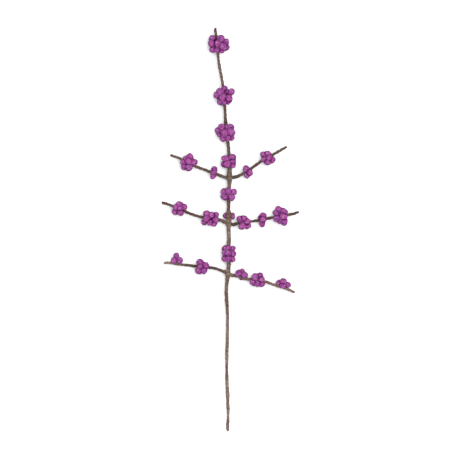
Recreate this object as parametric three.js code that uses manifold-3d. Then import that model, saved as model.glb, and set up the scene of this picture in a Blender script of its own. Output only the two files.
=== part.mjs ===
// A beautyberry sprig lying on a table: a brown wrapped stem with three pairs of side twigs,
// and bunches of felted purple berries seated round the stem and the twigs.
// Millimetres. +Z is up, +Y runs along the stem from its cut end to its tip, and the origin is
// on the table, under the middle of the sprig.

import * as THREE from 'three';
import { mergeVertices } from 'three/addons/utils/BufferGeometryUtils.js';
import Module from 'manifold-3d';

const wasm = await Module();
wasm.setup();

// Driving dimensions

const BERRY_RADIUS = 4.2;
const BERRY_SPREAD = 0.97; // draws the berries of a bunch together
const BERRY_PRESS = 0.7; // how far the lowest berries flatten against the table
const BERRY_CORNERS = 1.03; // a berry's corners stand out so that its flats keep the radius
const BERRY_DETAIL = 1; // how many times a berry's facets are split
const BERRY_LEAST_SPACING = 6.4; // a hidden berry keeps this far from the others
const HIDDEN_SHIFT = 0.8; // the most that a hidden berry strays from its place
const CORE_SHARE = 0.93; // the depth of a bunch's core, as a share of the shell of berry centres
const CORE_INSET = 1.6; // how far the core stays inside that shell all round
const SEAT_GAP = 0.3; // between a bunch and the stem or twig that it is seated on

const TWIG_ROOT_RADIUS = 2.2;
const TWIG_RADIUS = 1.9;
const TWIG_TIP_RADIUS = 1.6;
const TWIG_ROOT_SHARE = 0.2; // the share of a twig's length over which its root swells

// The rounded ends of the stem and the twigs, in shares of the radius there.
const END_RING_REACH = 0.5;
const END_RING_RADIUS = 0.7;
const END_POINT_REACH = 0.75;

const CUT_END_HEIGHT = 1.7; // of the stem's axis above the table
const LOWEST_BUNCH_HEIGHT = 8.4;
const TIP_HEIGHT = 11;
const CUT_END_Y = -251.5;
const LOWEST_BUNCH_Y = -29.6;
const TIP_Y = 251.4;

const TUBE_SIDES = 8;
const LINE_SAMPLES = 400; // steps in the search for the place on a line nearest a bunch
const WELD_DISTANCE = 1e-4; // corners nearer than this are one corner
const FLOOR_SLAB = 700; // wider than the sprig
const SEED = 20;

// The stem from its cut end to its tip: x, y and radius at each bend.
const STEM_BENDS = [
  [-2.9, CUT_END_Y, 1.6], [-3.1, -246.5, 1.9], [-2.5, -235.3, 1.55], [-2.6, -222.8, 1.95],
  [-3.2, -205.3, 2.1], [-3.9, -187.8, 1.95], [-4.2, -170.3, 1.85], [-3.9, -150.3, 2.05],
  [-3.3, -127.8, 1.9], [-3.2, -107.8, 1.75], [-4.1, -90.3, 2.25], [-4.8, -76.5, 2.15],
  [-3.7, -62.8, 2.4], [-2.7, -53.4, 3.1], [-1.9, -44.5, 2.4], [-2, -29, 2], [-1.8, -16.5, 2.4],
  [-1.6, -9.6, 2.4], [-2, -0.3, 2.6], [-1.8, 8, 3.2], [-1.8, 13, 3.3], [-1.7, 18, 4.5],
  [-1.9, 22.5, 2.7], [-2, 26, 2.2], [-1.9, 31.6, 2.3], [-2, 43.5, 2], [-0.9, 57.3, 2.4],
  [-0.9, 66.6, 3.5], [-0.8, 76, 2.6], [-1.5, 92.3, 1.95], [-2.2, 103.5, 1.95],
  [-3.3, 113.5, 1.9], [-5.6, 132.9, 2.1], [-6.3, 143.5, 1.9], [-7, 154.8, 1.9],
  [-9.2, 179.8, 1.85], [-11.2, 192.3, 1.85], [-13.4, 204.1, 1.8], [-14.9, 216, 1.85],
  [-16.1, 228.5, 1.7], [-17.4, 241, 1.8], [-18.5, 248.5, 1.7], [-18.3, TIP_Y, 1.35],
];

// Each twig from inside the stem to its tip: x and y at each bend.
const TWIGS = {
  upper_left: {
    tipHeight: 10,
    bends: [
      [-1, 63.8], [-5.9, 65.3], [-12.8, 67.9], [-21.5, 71], [-32.8, 75.4], [-44.2, 79.5],
      [-54, 84.5], [-62.7, 89], [-70.3, 91.8], [-73.9, 93],
    ],
  },
  upper_right: {
    tipHeight: 11,
    bends: [
      [-0.8, 66], [4.1, 65.7], [9.1, 66.5], [14.1, 69], [19.8, 72.3], [26.1, 76.6],
      [33.7, 82], [41, 87.3], [48.6, 91.5], [56.2, 95.5], [63.6, 99.7], [70, 103.3],
    ],
  },
  middle_left: {
    tipHeight: 9.5,
    bends: [
      [-2.1, 7.5], [-7.8, 10.3], [-14, 12.6], [-25.3, 14.4], [-37.7, 16.4], [-47.8, 19.5],
      [-56.5, 23], [-64, 26.1], [-72.8, 30], [-80.3, 32.8], [-84.6, 33.7],
    ],
  },
  middle_right: {
    tipHeight: 8.4,
    bends: [
      [-1.5, 7.9], [4.1, 6.6], [9.8, 8.1], [17.3, 9.9], [27.3, 10.6], [37.3, 12],
      [47.4, 14.3], [54.8, 15.8], [63.5, 17.6], [72.3, 18.8], [79.8, 20.3], [85.1, 22.1],
    ],
  },
  lower_left: {
    tipHeight: 8.8,
    bends: [
      [-2.8, -54.6], [-8.4, -52], [-14.6, -49.6], [-22.8, -47.4], [-31.5, -46.7],
      [-41.5, -45.7], [-52.8, -44.3], [-64, -43.1], [-74, -41.4], [-82.2, -41.3],
    ],
  },
  lower_right: {
    tipHeight: 7.8,
    bends: [
      [-2.1, -55.6], [2.9, -56.8], [9.8, -58.3], [17.3, -60.5], [24.7, -61.9], [33.5, -63],
      [43.5, -64.5], [51, -67.4], [59.8, -70.6], [69.8, -73.5], [75.9, -76], [79.9, -77.9],
    ],
  },
};

// The bunches, from the tip down. A bunch's berry centres lie on a shell of half-axes long (along
// the stem or twig), wide (to its sides) and deep (up and down). Each berry that faces up is given
// as right and up from the bunch's centre, its size as a share of BERRY_RADIUS, and its level where
// it isn't on the top of the shell: 0 beside the stem and -1 under it. A bunch with a foot rests on
// the table.
const BUNCHES = {
  stem_bunch_1: {
    on: 'stem', at: [-14.6, 231.6], long: 11, wide: 12, deep: 8, foot: true,
    berries: [
      [-8.1, 7.5], [3.3, 6.9, 1.05], [-9, 0.3, 1.1], [-7.8, -6.9], [-0.9, 0.2, 1.05], [5.6, -3.5, 1.15],
      [9.8, 2.5, 1.05], [9.6, -4.2], [-1.9, -7.9, 0.95], [4.2, -8.3, 0.95], [-2.5, 6.9, 0.8, -0.4],
    ],
  },
  stem_bunch_2: {
    on: 'stem', at: [-7.8, 167.3], long: 11.5, wide: 11.5, deep: 7.5, foot: true,
    berries: [
      [0.6, 9.4, 0.9], [-5.2, 4.6, 1.1], [-9.8, 0.6, 0.95], [3.1, 5, 0.85, 0.5], [9.4, 5, 1.15],
      [-1.9, -2.5, 1.1], [6.3, -3.5, 1.15], [-4.8, -7.5], [0.6, -8.8, 0.85], [5.4, -8.1, 0.85],
    ],
  },
  stem_bunch_3: {
    on: 'stem', at: [-6.1, 121.6], long: 11, wide: 11.5, deep: 7.5, foot: true,
    berries: [
      [-4.8, 6.9, 1.05], [-9.8, 2.5, 0.9], [-7.9, -1.9, 0.85, 0.2], [2.1, 6.3, 0.9, 0.4], [7.1, 6.9],
      [-1.6, -1, 1.15], [7.1, 0.3, 1.25], [-2.7, -7.4], [3.4, -7.5], [8.4, -7.3, 0.9],
    ],
  },
  stem_bunch_4: {
    on: 'stem', at: [-2.1, 85.8], long: 8.5, wide: 8, deep: 5.5, foot: true,
    berries: [
      [-4.4, 3.1, 1.1], [4.7, 4.9, 1.05], [-1.3, -3.9, 1.15], [-5.9, -4, 0.95], [6, -0.4, 0.95],
      [5.1, -5.1, 0.95],
    ],
  },
  stem_bunch_5: {
    on: 'stem', at: [-2.4, 44.5], long: 7, wide: 8, deep: 5.5, foot: true,
    berries: [
      [-5.6, 3.3, 1.05], [0, 3.8, 1.05], [6.5, 2.8], [-5.1, -3.6, 1.1], [4.6, -4.1, 1.1],
      [-0.3, -4.2, 0.8, 0.3],
    ],
  },
  stem_bunch_6: {
    on: 'stem', at: [-1.8, 17.3], long: 5, wide: 6, deep: 2, foot: true,
    berries: [[-3.7, 0.4, 0.95, -0.8], [4.1, 0, 0.95, -0.8]],
  },
  stem_bunch_7: {
    on: 'stem', at: [-2.1, LOWEST_BUNCH_Y], long: 13, wide: 8, deep: 5.5, foot: true,
    berries: [
      [-4.7, 6.5, 0.9], [-0.3, 6.6, 0.95], [5.3, 6.2, 0.9], [-5, 0.6, 0.95], [-0.3, 1, 1.15],
      [5.5, -0.3, 0.95], [-4.9, -6.9, 0.95], [0, -6.9, 1.05], [4.9, -7.2],
    ],
  },
  upper_left_bunch_1: {
    on: 'upper_left', at: [-51.5, 84], long: 9, wide: 9, deep: 5.5, foot: true,
    berries: [
      [1.3, 7.1, 1.05], [-3.8, 5.6, 0.9], [-0.6, 1.9, 1.05], [-7.1, 0.6, 0.95], [6.3, 0.3],
      [-0.3, -6.3, 1.1], [-6.3, -5.6],
    ],
  },
  upper_left_bunch_2: {
    on: 'upper_left', at: [-20.6, 71.1], long: 5, wide: 6, deep: 4,
    berries: [[1, 4.1], [-0.9, -3.8, 1.05], [-0.4, 0.4, 0.9]],
  },
  upper_right_bunch_1: {
    on: 'upper_right', at: [46.6, 89.6], long: 8, wide: 8, deep: 5.5, foot: true,
    berries: [
      [-5.2, 4.4, 0.95], [0.3, 5.3, 1.05], [-4.7, -1.9], [-0.3, -5, 1.1], [1.9, 0], [6, -2.5],
    ],
  },
  upper_right_bunch_2: {
    on: 'upper_right', at: [21.6, 72.2], long: 6, wide: 6.5, deep: 4,
    berries: [[-2, 4, 1.05], [2.8, -1], [-0.9, -4.8, 0.9]],
  },
  middle_left_bunch_1: {
    on: 'middle_left', at: [-63.5, 26.9], long: 8.5, wide: 8, deep: 5.2, foot: true,
    berries: [
      [0.4, 5], [-4.4, 1], [6.3, 1.6, 0.95], [-5.6, -4.6], [1.3, -5.4, 1.1], [1.3, -0.3, 0.9],
    ],
  },
  middle_left_bunch_2: {
    on: 'middle_left', at: [-25.5, 14.4], long: 10.5, wide: 9, deep: 5.5, foot: true,
    berries: [
      [-4.1, 6, 1.05], [-4.1, -0.9, 1.15], [-7.4, -4.9], [2.5, 4.1], [7.4, 4.1, 1.05],
      [7.8, -2.1, 0.95], [-0.4, -5.2], [5.3, -6.8, 0.95],
    ],
  },
  middle_right_bunch_1: {
    on: 'middle_right', at: [62.9, 17.9], long: 7, wide: 11, deep: 5.5, foot: true,
    berries: [
      [-2.7, 7.9], [-5.6, 3.4, 1.1], [4, 5, 1.15], [-4.8, -4.1, 1.1], [3.7, -1.2, 1.1],
      [4.4, -7.9, 1.1], [-0.9, -7, 1, 0.5],
    ],
  },
  middle_right_bunch_2: {
    on: 'middle_right', at: [40.3, 12.9], long: 5.5, wide: 6.5, deep: 4,
    berries: [[0.6, 4.7, 1.05], [-2.2, 2.4, 0.95, 0.3], [0.6, 0, 1.05], [-0.3, -5.8, 0.95]],
  },
  middle_right_bunch_3: {
    on: 'middle_right', at: [16.9, 9.4], long: 7.5, wide: 8, deep: 5, foot: true,
    berries: [[-4.6, 4.1, 1.05], [0.4, 5.4], [4.8, 1, 1.05], [-2.1, -4.6, 1.1], [5, -5]],
  },
  lower_left_bunch_1: {
    on: 'lower_left', at: [-67.1, -36.5], long: 5, wide: 5.5, deep: 3.5,
    berries: [[-0.2, 4.2, 0.9], [-3.4, -1.9], [4.2, -1.9, 0.95]],
  },
  lower_left_bunch_2: {
    on: 'lower_left', at: [-35.3, -45.9], long: 8, wide: 8, deep: 5, foot: true,
    berries: [[-2.5, 5.6, 1.05], [5, 1.5, 1.1], [-4.2, -5, 1.1], [2.5, -5.3, 1.05], [-2.1, 0.3]],
  },
  lower_right_bunch_1: {
    on: 'lower_right', at: [66, -67.4], long: 8, wide: 5, deep: 3.5,
    berries: [[-5, 0.9, 0.95, 0], [0.6, 3, 1.1], [0, -2.5, 1.05], [6.2, -1.3, 0.95]],
  },
  lower_right_bunch_2: {
    on: 'lower_right', at: [33.9, -62.8], long: 8, wide: 8, deep: 5, foot: true,
    berries: [
      [-3, 3.7, 1.15], [3.4, 5.6], [5.3, 1.2, 1.05], [-5.4, -3, 1.05], [0, -4.8], [5.4, -4.7],
    ],
  },
  lower_right_bunch_3: {
    on: 'lower_right', at: [14.8, -55.9], long: 6.5, wide: 5, deep: 3.5,
    berries: [[-4.6, 1.5], [0, 3.8, 0.9, 0], [3.1, -0.6, 1.05], [-0.3, -4, 0.85, -1]],
  },
};

const UP = new THREE.Vector3(0, 0, 1);
const wrapFinish = new THREE.MeshStandardMaterial({ color: 0x75614f, roughness: 0.95, metalness: 0 });
const feltFinish = new THREE.MeshStandardMaterial({ color: 0x9a4890, roughness: 1, metalness: 0 });

// Solids and meshes

function solidOf(geometry) {
  const bare = geometry.clone();
  bare.deleteAttribute('normal');
  bare.deleteAttribute('uv');
  const merged = mergeVertices(bare, WELD_DISTANCE);
  return new wasm.Manifold(new wasm.Mesh({
    numProp: 3,
    vertProperties: new Float32Array(merged.attributes.position.array),
    triVerts: new Uint32Array(merged.index.array),
  }));
}

function meshOf(name, solid, material) {
  const { numVert, numProp, vertProperties, triVerts } = solid.getMesh();
  const positions = new Float32Array(numVert * 3);
  for (let i = 0; i < numVert; i++) {
    positions.set(vertProperties.subarray(i * numProp, i * numProp + 3), i * 3);
  }
  const geometry = new THREE.BufferGeometry();
  geometry.setAttribute('position', new THREE.BufferAttribute(positions, 3));
  geometry.setIndex(new THREE.BufferAttribute(triVerts, 1));
  geometry.computeVertexNormals();
  const mesh = new THREE.Mesh(geometry, material);
  mesh.name = name;
  return mesh;
}

// The largest body of a solid, without any speck of air that its berries close off.
function outerBody(solid) {
  return solid.decompose().reduce((largest, next) => (
    next.volume() > largest.volume() ? next : largest
  ));
}

// Draws from 0 to 1 that come out the same on every run.
function seededRandom(seed) {
  const factor = 1664525;
  const step = 1013904223;
  const range = 2 ** 32;
  let state = seed;
  return () => {
    state = (state * factor + step) % range;
    return state / range;
  };
}

// The lines that the stem and the twigs follow

function stemHeight(y) {
  const lift = THREE.MathUtils.smoothstep(y, CUT_END_Y, LOWEST_BUNCH_Y);
  const rise = Math.max(0, (y - LOWEST_BUNCH_Y) / (TIP_Y - LOWEST_BUNCH_Y));
  return CUT_END_HEIGHT + (LOWEST_BUNCH_HEIGHT - CUT_END_HEIGHT) * lift
    + (TIP_HEIGHT - LOWEST_BUNCH_HEIGHT) * rise;
}

function twigRadius(share) {
  const swelling = Math.max(0, 1 - share / TWIG_ROOT_SHARE);
  return THREE.MathUtils.lerp(TWIG_RADIUS, TWIG_TIP_RADIUS, share)
    + (TWIG_ROOT_RADIUS - TWIG_RADIUS) * swelling;
}

function line(points, radii) {
  return { curve: new THREE.CatmullRomCurve3(points, false, 'catmullrom'), radii };
}

function stemLine() {
  const points = STEM_BENDS.map(([x, y]) => new THREE.Vector3(x, y, stemHeight(y)));
  return line(points, STEM_BENDS.map(([, , radius]) => radius));
}

function twigLine({ tipHeight, bends }) {
  const rootHeight = stemHeight(bends[0][1]);
  const shares = bends.map((_, i) => i / (bends.length - 1));
  const points = bends.map(([x, y], i) => (
    new THREE.Vector3(x, y, THREE.MathUtils.lerp(rootHeight, tipHeight, shares[i]))
  ));
  return line(points, shares.map(twigRadius));
}

function nearestOn({ curve }, x, y) {
  let best = { distance: Infinity };
  for (let i = 0; i <= LINE_SAMPLES; i++) {
    const share = i / LINE_SAMPLES;
    const point = curve.getPoint(share);
    const distance = Math.hypot(point.x - x, point.y - y);
    if (distance < best.distance) best = { distance, point, share };
  }
  return { point: best.point, tangent: curve.getTangent(best.share) };
}

// A closed tube along a line, with rounded ends, grown all round by `grow`.
function tube(path, grow = 0) {
  const steps = path.radii.length - 1;
  const rings = path.radii.map((radius, i) => ({
    centre: path.curve.getPoint(i / steps),
    tangent: path.curve.getTangent(i / steps),
    radius: radius + grow,
  }));
  const pastEnd = ({ centre, tangent, radius }, way, reach) => (
    centre.clone().addScaledVector(tangent, way * reach * radius)
  );
  const endRing = (ring, way) => ({
    centre: pastEnd(ring, way, END_RING_REACH),
    tangent: ring.tangent,
    radius: ring.radius * END_RING_RADIUS,
  });
  const first = rings[0];
  const last = rings[steps];
  const all = [endRing(first, -1), ...rings, endRing(last, 1)];
  const apexes = [pastEnd(first, -1, END_POINT_REACH), pastEnd(last, 1, END_POINT_REACH)];

  const positions = [];
  for (const { centre, tangent, radius } of all) {
    const side = new THREE.Vector3().crossVectors(tangent, UP).normalize();
    const above = new THREE.Vector3().crossVectors(side, tangent);
    for (let j = 0; j < TUBE_SIDES; j++) {
      const angle = (2 * Math.PI * j) / TUBE_SIDES;
      const point = centre.clone()
        .addScaledVector(side, radius * Math.cos(angle))
        .addScaledVector(above, radius * Math.sin(angle));
      positions.push(...point.toArray());
    }
  }
  apexes.forEach((apex) => positions.push(...apex.toArray()));

  const faces = [];
  const corner = (ring, j) => ring * TUBE_SIDES + (j % TUBE_SIDES);
  const startApex = all.length * TUBE_SIDES;
  for (let j = 0; j < TUBE_SIDES; j++) {
    for (let ring = 0; ring < all.length - 1; ring++) {
      faces.push(corner(ring, j), corner(ring + 1, j), corner(ring, j + 1));
      faces.push(corner(ring, j + 1), corner(ring + 1, j), corner(ring + 1, j + 1));
    }
    faces.push(startApex, corner(0, j), corner(0, j + 1));
    faces.push(startApex + 1, corner(all.length - 1, j + 1), corner(all.length - 1, j));
  }
  const geometry = new THREE.BufferGeometry();
  geometry.setAttribute('position', new THREE.Float32BufferAttribute(positions, 3));
  geometry.setIndex(faces);
  return solidOf(geometry);
}

function branchedStem(lines, grow = 0) {
  return Object.values(lines).map((path) => tube(path, grow)).reduce((all, next) => all.add(next));
}

// Berries

function berrySolid(centre, radius, random) {
  const turn = new THREE.Euler(...[0, 1, 2].map(() => 2 * Math.PI * random()));
  const geometry = new THREE.OctahedronGeometry(radius * BERRY_CORNERS, BERRY_DETAIL);
  geometry.applyMatrix4(new THREE.Matrix4().makeRotationFromEuler(turn));
  geometry.translate(...centre.toArray());
  return solidOf(geometry);
}

// Where the berries of a bunch sit: those that face up as given, then the foot, then a hidden one
// under each that stands high enough, where there is room for it.
function berryPlaces(bunch, path, random) {
  const { at, long, wide, deep, foot, berries } = bunch;
  const { point, tangent } = nearestOn(path, ...at);
  const centre = new THREE.Vector3(...at, point.z);
  const side = new THREE.Vector3().crossVectors(tangent, UP).normalize();
  const under = foot ? point.z + BERRY_PRESS - BERRY_RADIUS : deep;
  const shellShare = (offset) => {
    const along = offset.dot(tangent) / long;
    const across = offset.dot(side) / wide;
    return Math.sqrt(Math.max(0, 1 - along * along - across * across));
  };
  const places = berries.map(([right, up, size = 1, level]) => {
    const offset = new THREE.Vector3(right, up, 0).multiplyScalar(BERRY_SPREAD);
    const share = level ?? shellShare(offset);
    offset.z = share * (share < 0 ? under : deep);
    return { offset, radius: BERRY_RADIUS * size };
  });
  const facingUp = [...places];
  if (foot) places.push({ offset: new THREE.Vector3(0, 0, -under), radius: BERRY_RADIUS });
  for (const { offset, radius } of facingUp) {
    const shift = [0, 1].map(() => HIDDEN_SHIFT * (2 * random() - 1));
    const hidden = new THREE.Vector3(offset.x + shift[0], offset.y + shift[1], 0);
    hidden.z = -under * shellShare(hidden);
    const clear = places.every((place) => place.offset.distanceTo(hidden) > BERRY_LEAST_SPACING);
    if (clear) places.push({ offset: hidden, radius: Math.min(radius, BERRY_RADIUS) });
  }
  return { centre, tangent, side, under, places };
}

// The felt core that the berries of a bunch stand out of.
function coreSolid({ long, wide, deep }, { centre, tangent, side, under }) {
  const core = new THREE.IcosahedronGeometry();
  core.scale(wide - CORE_INSET, long - CORE_INSET, (CORE_SHARE * (deep + under)) / 2);
  const above = new THREE.Vector3().crossVectors(side, tangent);
  core.applyMatrix4(new THREE.Matrix4().makeBasis(side, tangent, above));
  core.translate(centre.x, centre.y, centre.z + (CORE_SHARE * (deep - under)) / 2);
  return solidOf(core);
}

function bunchSolid(bunch, path, cutaway, random) {
  const seats = berryPlaces(bunch, path, random);
  const berries = seats.places.map(({ offset, radius }) => (
    berrySolid(offset.clone().add(seats.centre), radius, random)
  ));
  const whole = berries.reduce((all, berry) => all.add(berry), coreSolid(bunch, seats));
  return outerBody(whole.subtract(cutaway));
}

// The sprig

const lines = { stem: stemLine() };
for (const [name, twig] of Object.entries(TWIGS)) lines[name] = twigLine(twig);

const slab = new THREE.BoxGeometry(FLOOR_SLAB, FLOOR_SLAB, FLOOR_SLAB);
slab.translate(0, 0, -FLOOR_SLAB / 2);
const belowTable = solidOf(slab);
const cutaway = branchedStem(lines, SEAT_GAP).add(belowTable);

const sprig = new THREE.Group();
sprig.add(meshOf('stem', branchedStem(lines).subtract(belowTable), wrapFinish));
const random = seededRandom(SEED);
for (const [name, bunch] of Object.entries(BUNCHES)) {
  sprig.add(meshOf(name, bunchSolid(bunch, lines[bunch.on], cutaway, random), feltFinish));
}

export default sprig;
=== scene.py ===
"""A felted beautyberry sprig lying on a pale table: a stem and side twigs wrapped in brown wool, and
bunches of purple felt berries seated along them. Metres, +Z up, +Y from the cut end to the tip."""

import math

import bpy
import numpy as np
from mathutils import Euler, Matrix, Vector, noise


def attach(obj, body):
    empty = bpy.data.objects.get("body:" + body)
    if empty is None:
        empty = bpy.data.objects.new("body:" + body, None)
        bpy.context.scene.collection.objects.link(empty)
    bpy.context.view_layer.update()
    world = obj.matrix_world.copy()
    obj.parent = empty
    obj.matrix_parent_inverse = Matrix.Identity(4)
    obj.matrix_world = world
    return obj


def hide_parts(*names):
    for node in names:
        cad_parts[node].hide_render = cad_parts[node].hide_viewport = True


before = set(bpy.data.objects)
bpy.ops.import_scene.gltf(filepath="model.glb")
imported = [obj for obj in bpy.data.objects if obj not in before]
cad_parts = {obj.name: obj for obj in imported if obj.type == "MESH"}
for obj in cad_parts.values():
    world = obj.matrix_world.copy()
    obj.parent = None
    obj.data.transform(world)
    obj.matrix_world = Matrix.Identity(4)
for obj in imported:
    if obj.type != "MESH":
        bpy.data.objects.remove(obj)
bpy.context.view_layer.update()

bl_info = {
    "name": "Felted beautyberry sprig",
    "version": (1, 0, 0),
    "blender": (4, 5, 0),
    "location": "3D View > Sidebar > Sprig",
    "description": "Builds a wool-wrapped stem with bunches of felt berries, and its stage",
    "category": "Add Mesh",
}

UP = Vector((0, 0, 1))
BODY = "root"

# Where the ends of the stem and its lowest bunch are, and how high the axis of the stem is there
CUT_END_Y = -0.2515
LOWEST_BUNCH_Y = -0.0296
TIP_Y = 0.2514
CUT_END_HEIGHT = 0.0017
LOWEST_BUNCH_HEIGHT = 0.0084
TIP_HEIGHT = 0.011

# The stem from its cut end to its tip: x, y and radius at each bend
STEM_BENDS = (
    (-0.0029, CUT_END_Y, 0.0016), (-0.0031, -0.2465, 0.0019), (-0.0025, -0.2353, 0.00155),
    (-0.0026, -0.2228, 0.00195), (-0.0032, -0.2053, 0.0021), (-0.0039, -0.1878, 0.00195),
    (-0.0042, -0.1703, 0.00185), (-0.0039, -0.1503, 0.00205), (-0.0033, -0.1278, 0.0019),
    (-0.0032, -0.1078, 0.00175), (-0.0041, -0.0903, 0.00225), (-0.0048, -0.0765, 0.00215),
    (-0.0037, -0.0628, 0.0024), (-0.0027, -0.0534, 0.0031), (-0.0019, -0.0445, 0.0024),
    (-0.002, -0.029, 0.002), (-0.0018, -0.0165, 0.0024), (-0.0016, -0.0096, 0.0024),
    (-0.002, -0.0003, 0.0026), (-0.0018, 0.008, 0.0032), (-0.0018, 0.013, 0.0033),
    (-0.0017, 0.018, 0.0045), (-0.0019, 0.0225, 0.0027), (-0.002, 0.026, 0.0022),
    (-0.0019, 0.0316, 0.0023), (-0.002, 0.0435, 0.002), (-0.0009, 0.0573, 0.0024),
    (-0.0009, 0.0666, 0.0035), (-0.0008, 0.076, 0.0026), (-0.0015, 0.0923, 0.00195),
    (-0.0022, 0.1035, 0.00195), (-0.0033, 0.1135, 0.0019), (-0.0056, 0.1329, 0.0021),
    (-0.0063, 0.1435, 0.0019), (-0.007, 0.1548, 0.0019), (-0.0092, 0.1798, 0.00185),
    (-0.0112, 0.1923, 0.00185), (-0.0134, 0.2041, 0.0018), (-0.0149, 0.216, 0.00185),
    (-0.0161, 0.2285, 0.0017), (-0.0174, 0.241, 0.0018), (-0.0185, 0.2485, 0.0017),
    (-0.0183, TIP_Y, 0.00135),
)

# Each twig from inside the stem to its tip: the tip's height, then x and y at each bend
TWIGS = {
    "upper_left": (0.01, (
        (-0.001, 0.0638), (-0.0059, 0.0653), (-0.0128, 0.0679), (-0.0215, 0.071), (-0.0328, 0.0754),
        (-0.0442, 0.0795), (-0.054, 0.0845), (-0.0627, 0.089), (-0.0703, 0.0918), (-0.0739, 0.093),
    )),
    "upper_right": (0.011, (
        (-0.0008, 0.066), (0.0041, 0.0657), (0.0091, 0.0665), (0.0141, 0.069), (0.0198, 0.0723),
        (0.0261, 0.0766), (0.0337, 0.082), (0.041, 0.0873), (0.0486, 0.0915), (0.0562, 0.0955),
        (0.0636, 0.0997), (0.07, 0.1033),
    )),
    "middle_left": (0.0095, (
        (-0.0021, 0.0075), (-0.0078, 0.0103), (-0.014, 0.0126), (-0.0253, 0.0144),
        (-0.0377, 0.0164), (-0.0478, 0.0195), (-0.0565, 0.023), (-0.064, 0.0261), (-0.0728, 0.03),
        (-0.0803, 0.0328), (-0.0846, 0.0337),
    )),
    "middle_right": (0.0084, (
        (-0.0015, 0.0079), (0.0041, 0.0066), (0.0098, 0.0081), (0.0173, 0.0099), (0.0273, 0.0106),
        (0.0373, 0.012), (0.0474, 0.0143), (0.0548, 0.0158), (0.0635, 0.0176), (0.0723, 0.0188),
        (0.0798, 0.0203), (0.0851, 0.0221),
    )),
    "lower_left": (0.0088, (
        (-0.0028, -0.0546), (-0.0084, -0.052), (-0.0146, -0.0496), (-0.0228, -0.0474),
        (-0.0315, -0.0467), (-0.0415, -0.0457), (-0.0528, -0.0443), (-0.064, -0.0431),
        (-0.074, -0.0414), (-0.0822, -0.0413),
    )),
    "lower_right": (0.0078, (
        (-0.0021, -0.0556), (0.0029, -0.0568), (0.0098, -0.0583), (0.0173, -0.0605),
        (0.0247, -0.0619), (0.0335, -0.063), (0.0435, -0.0645), (0.051, -0.0674), (0.0598, -0.0706),
        (0.0698, -0.0735), (0.0759, -0.076), (0.0799, -0.0779),
    )),
}

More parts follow.
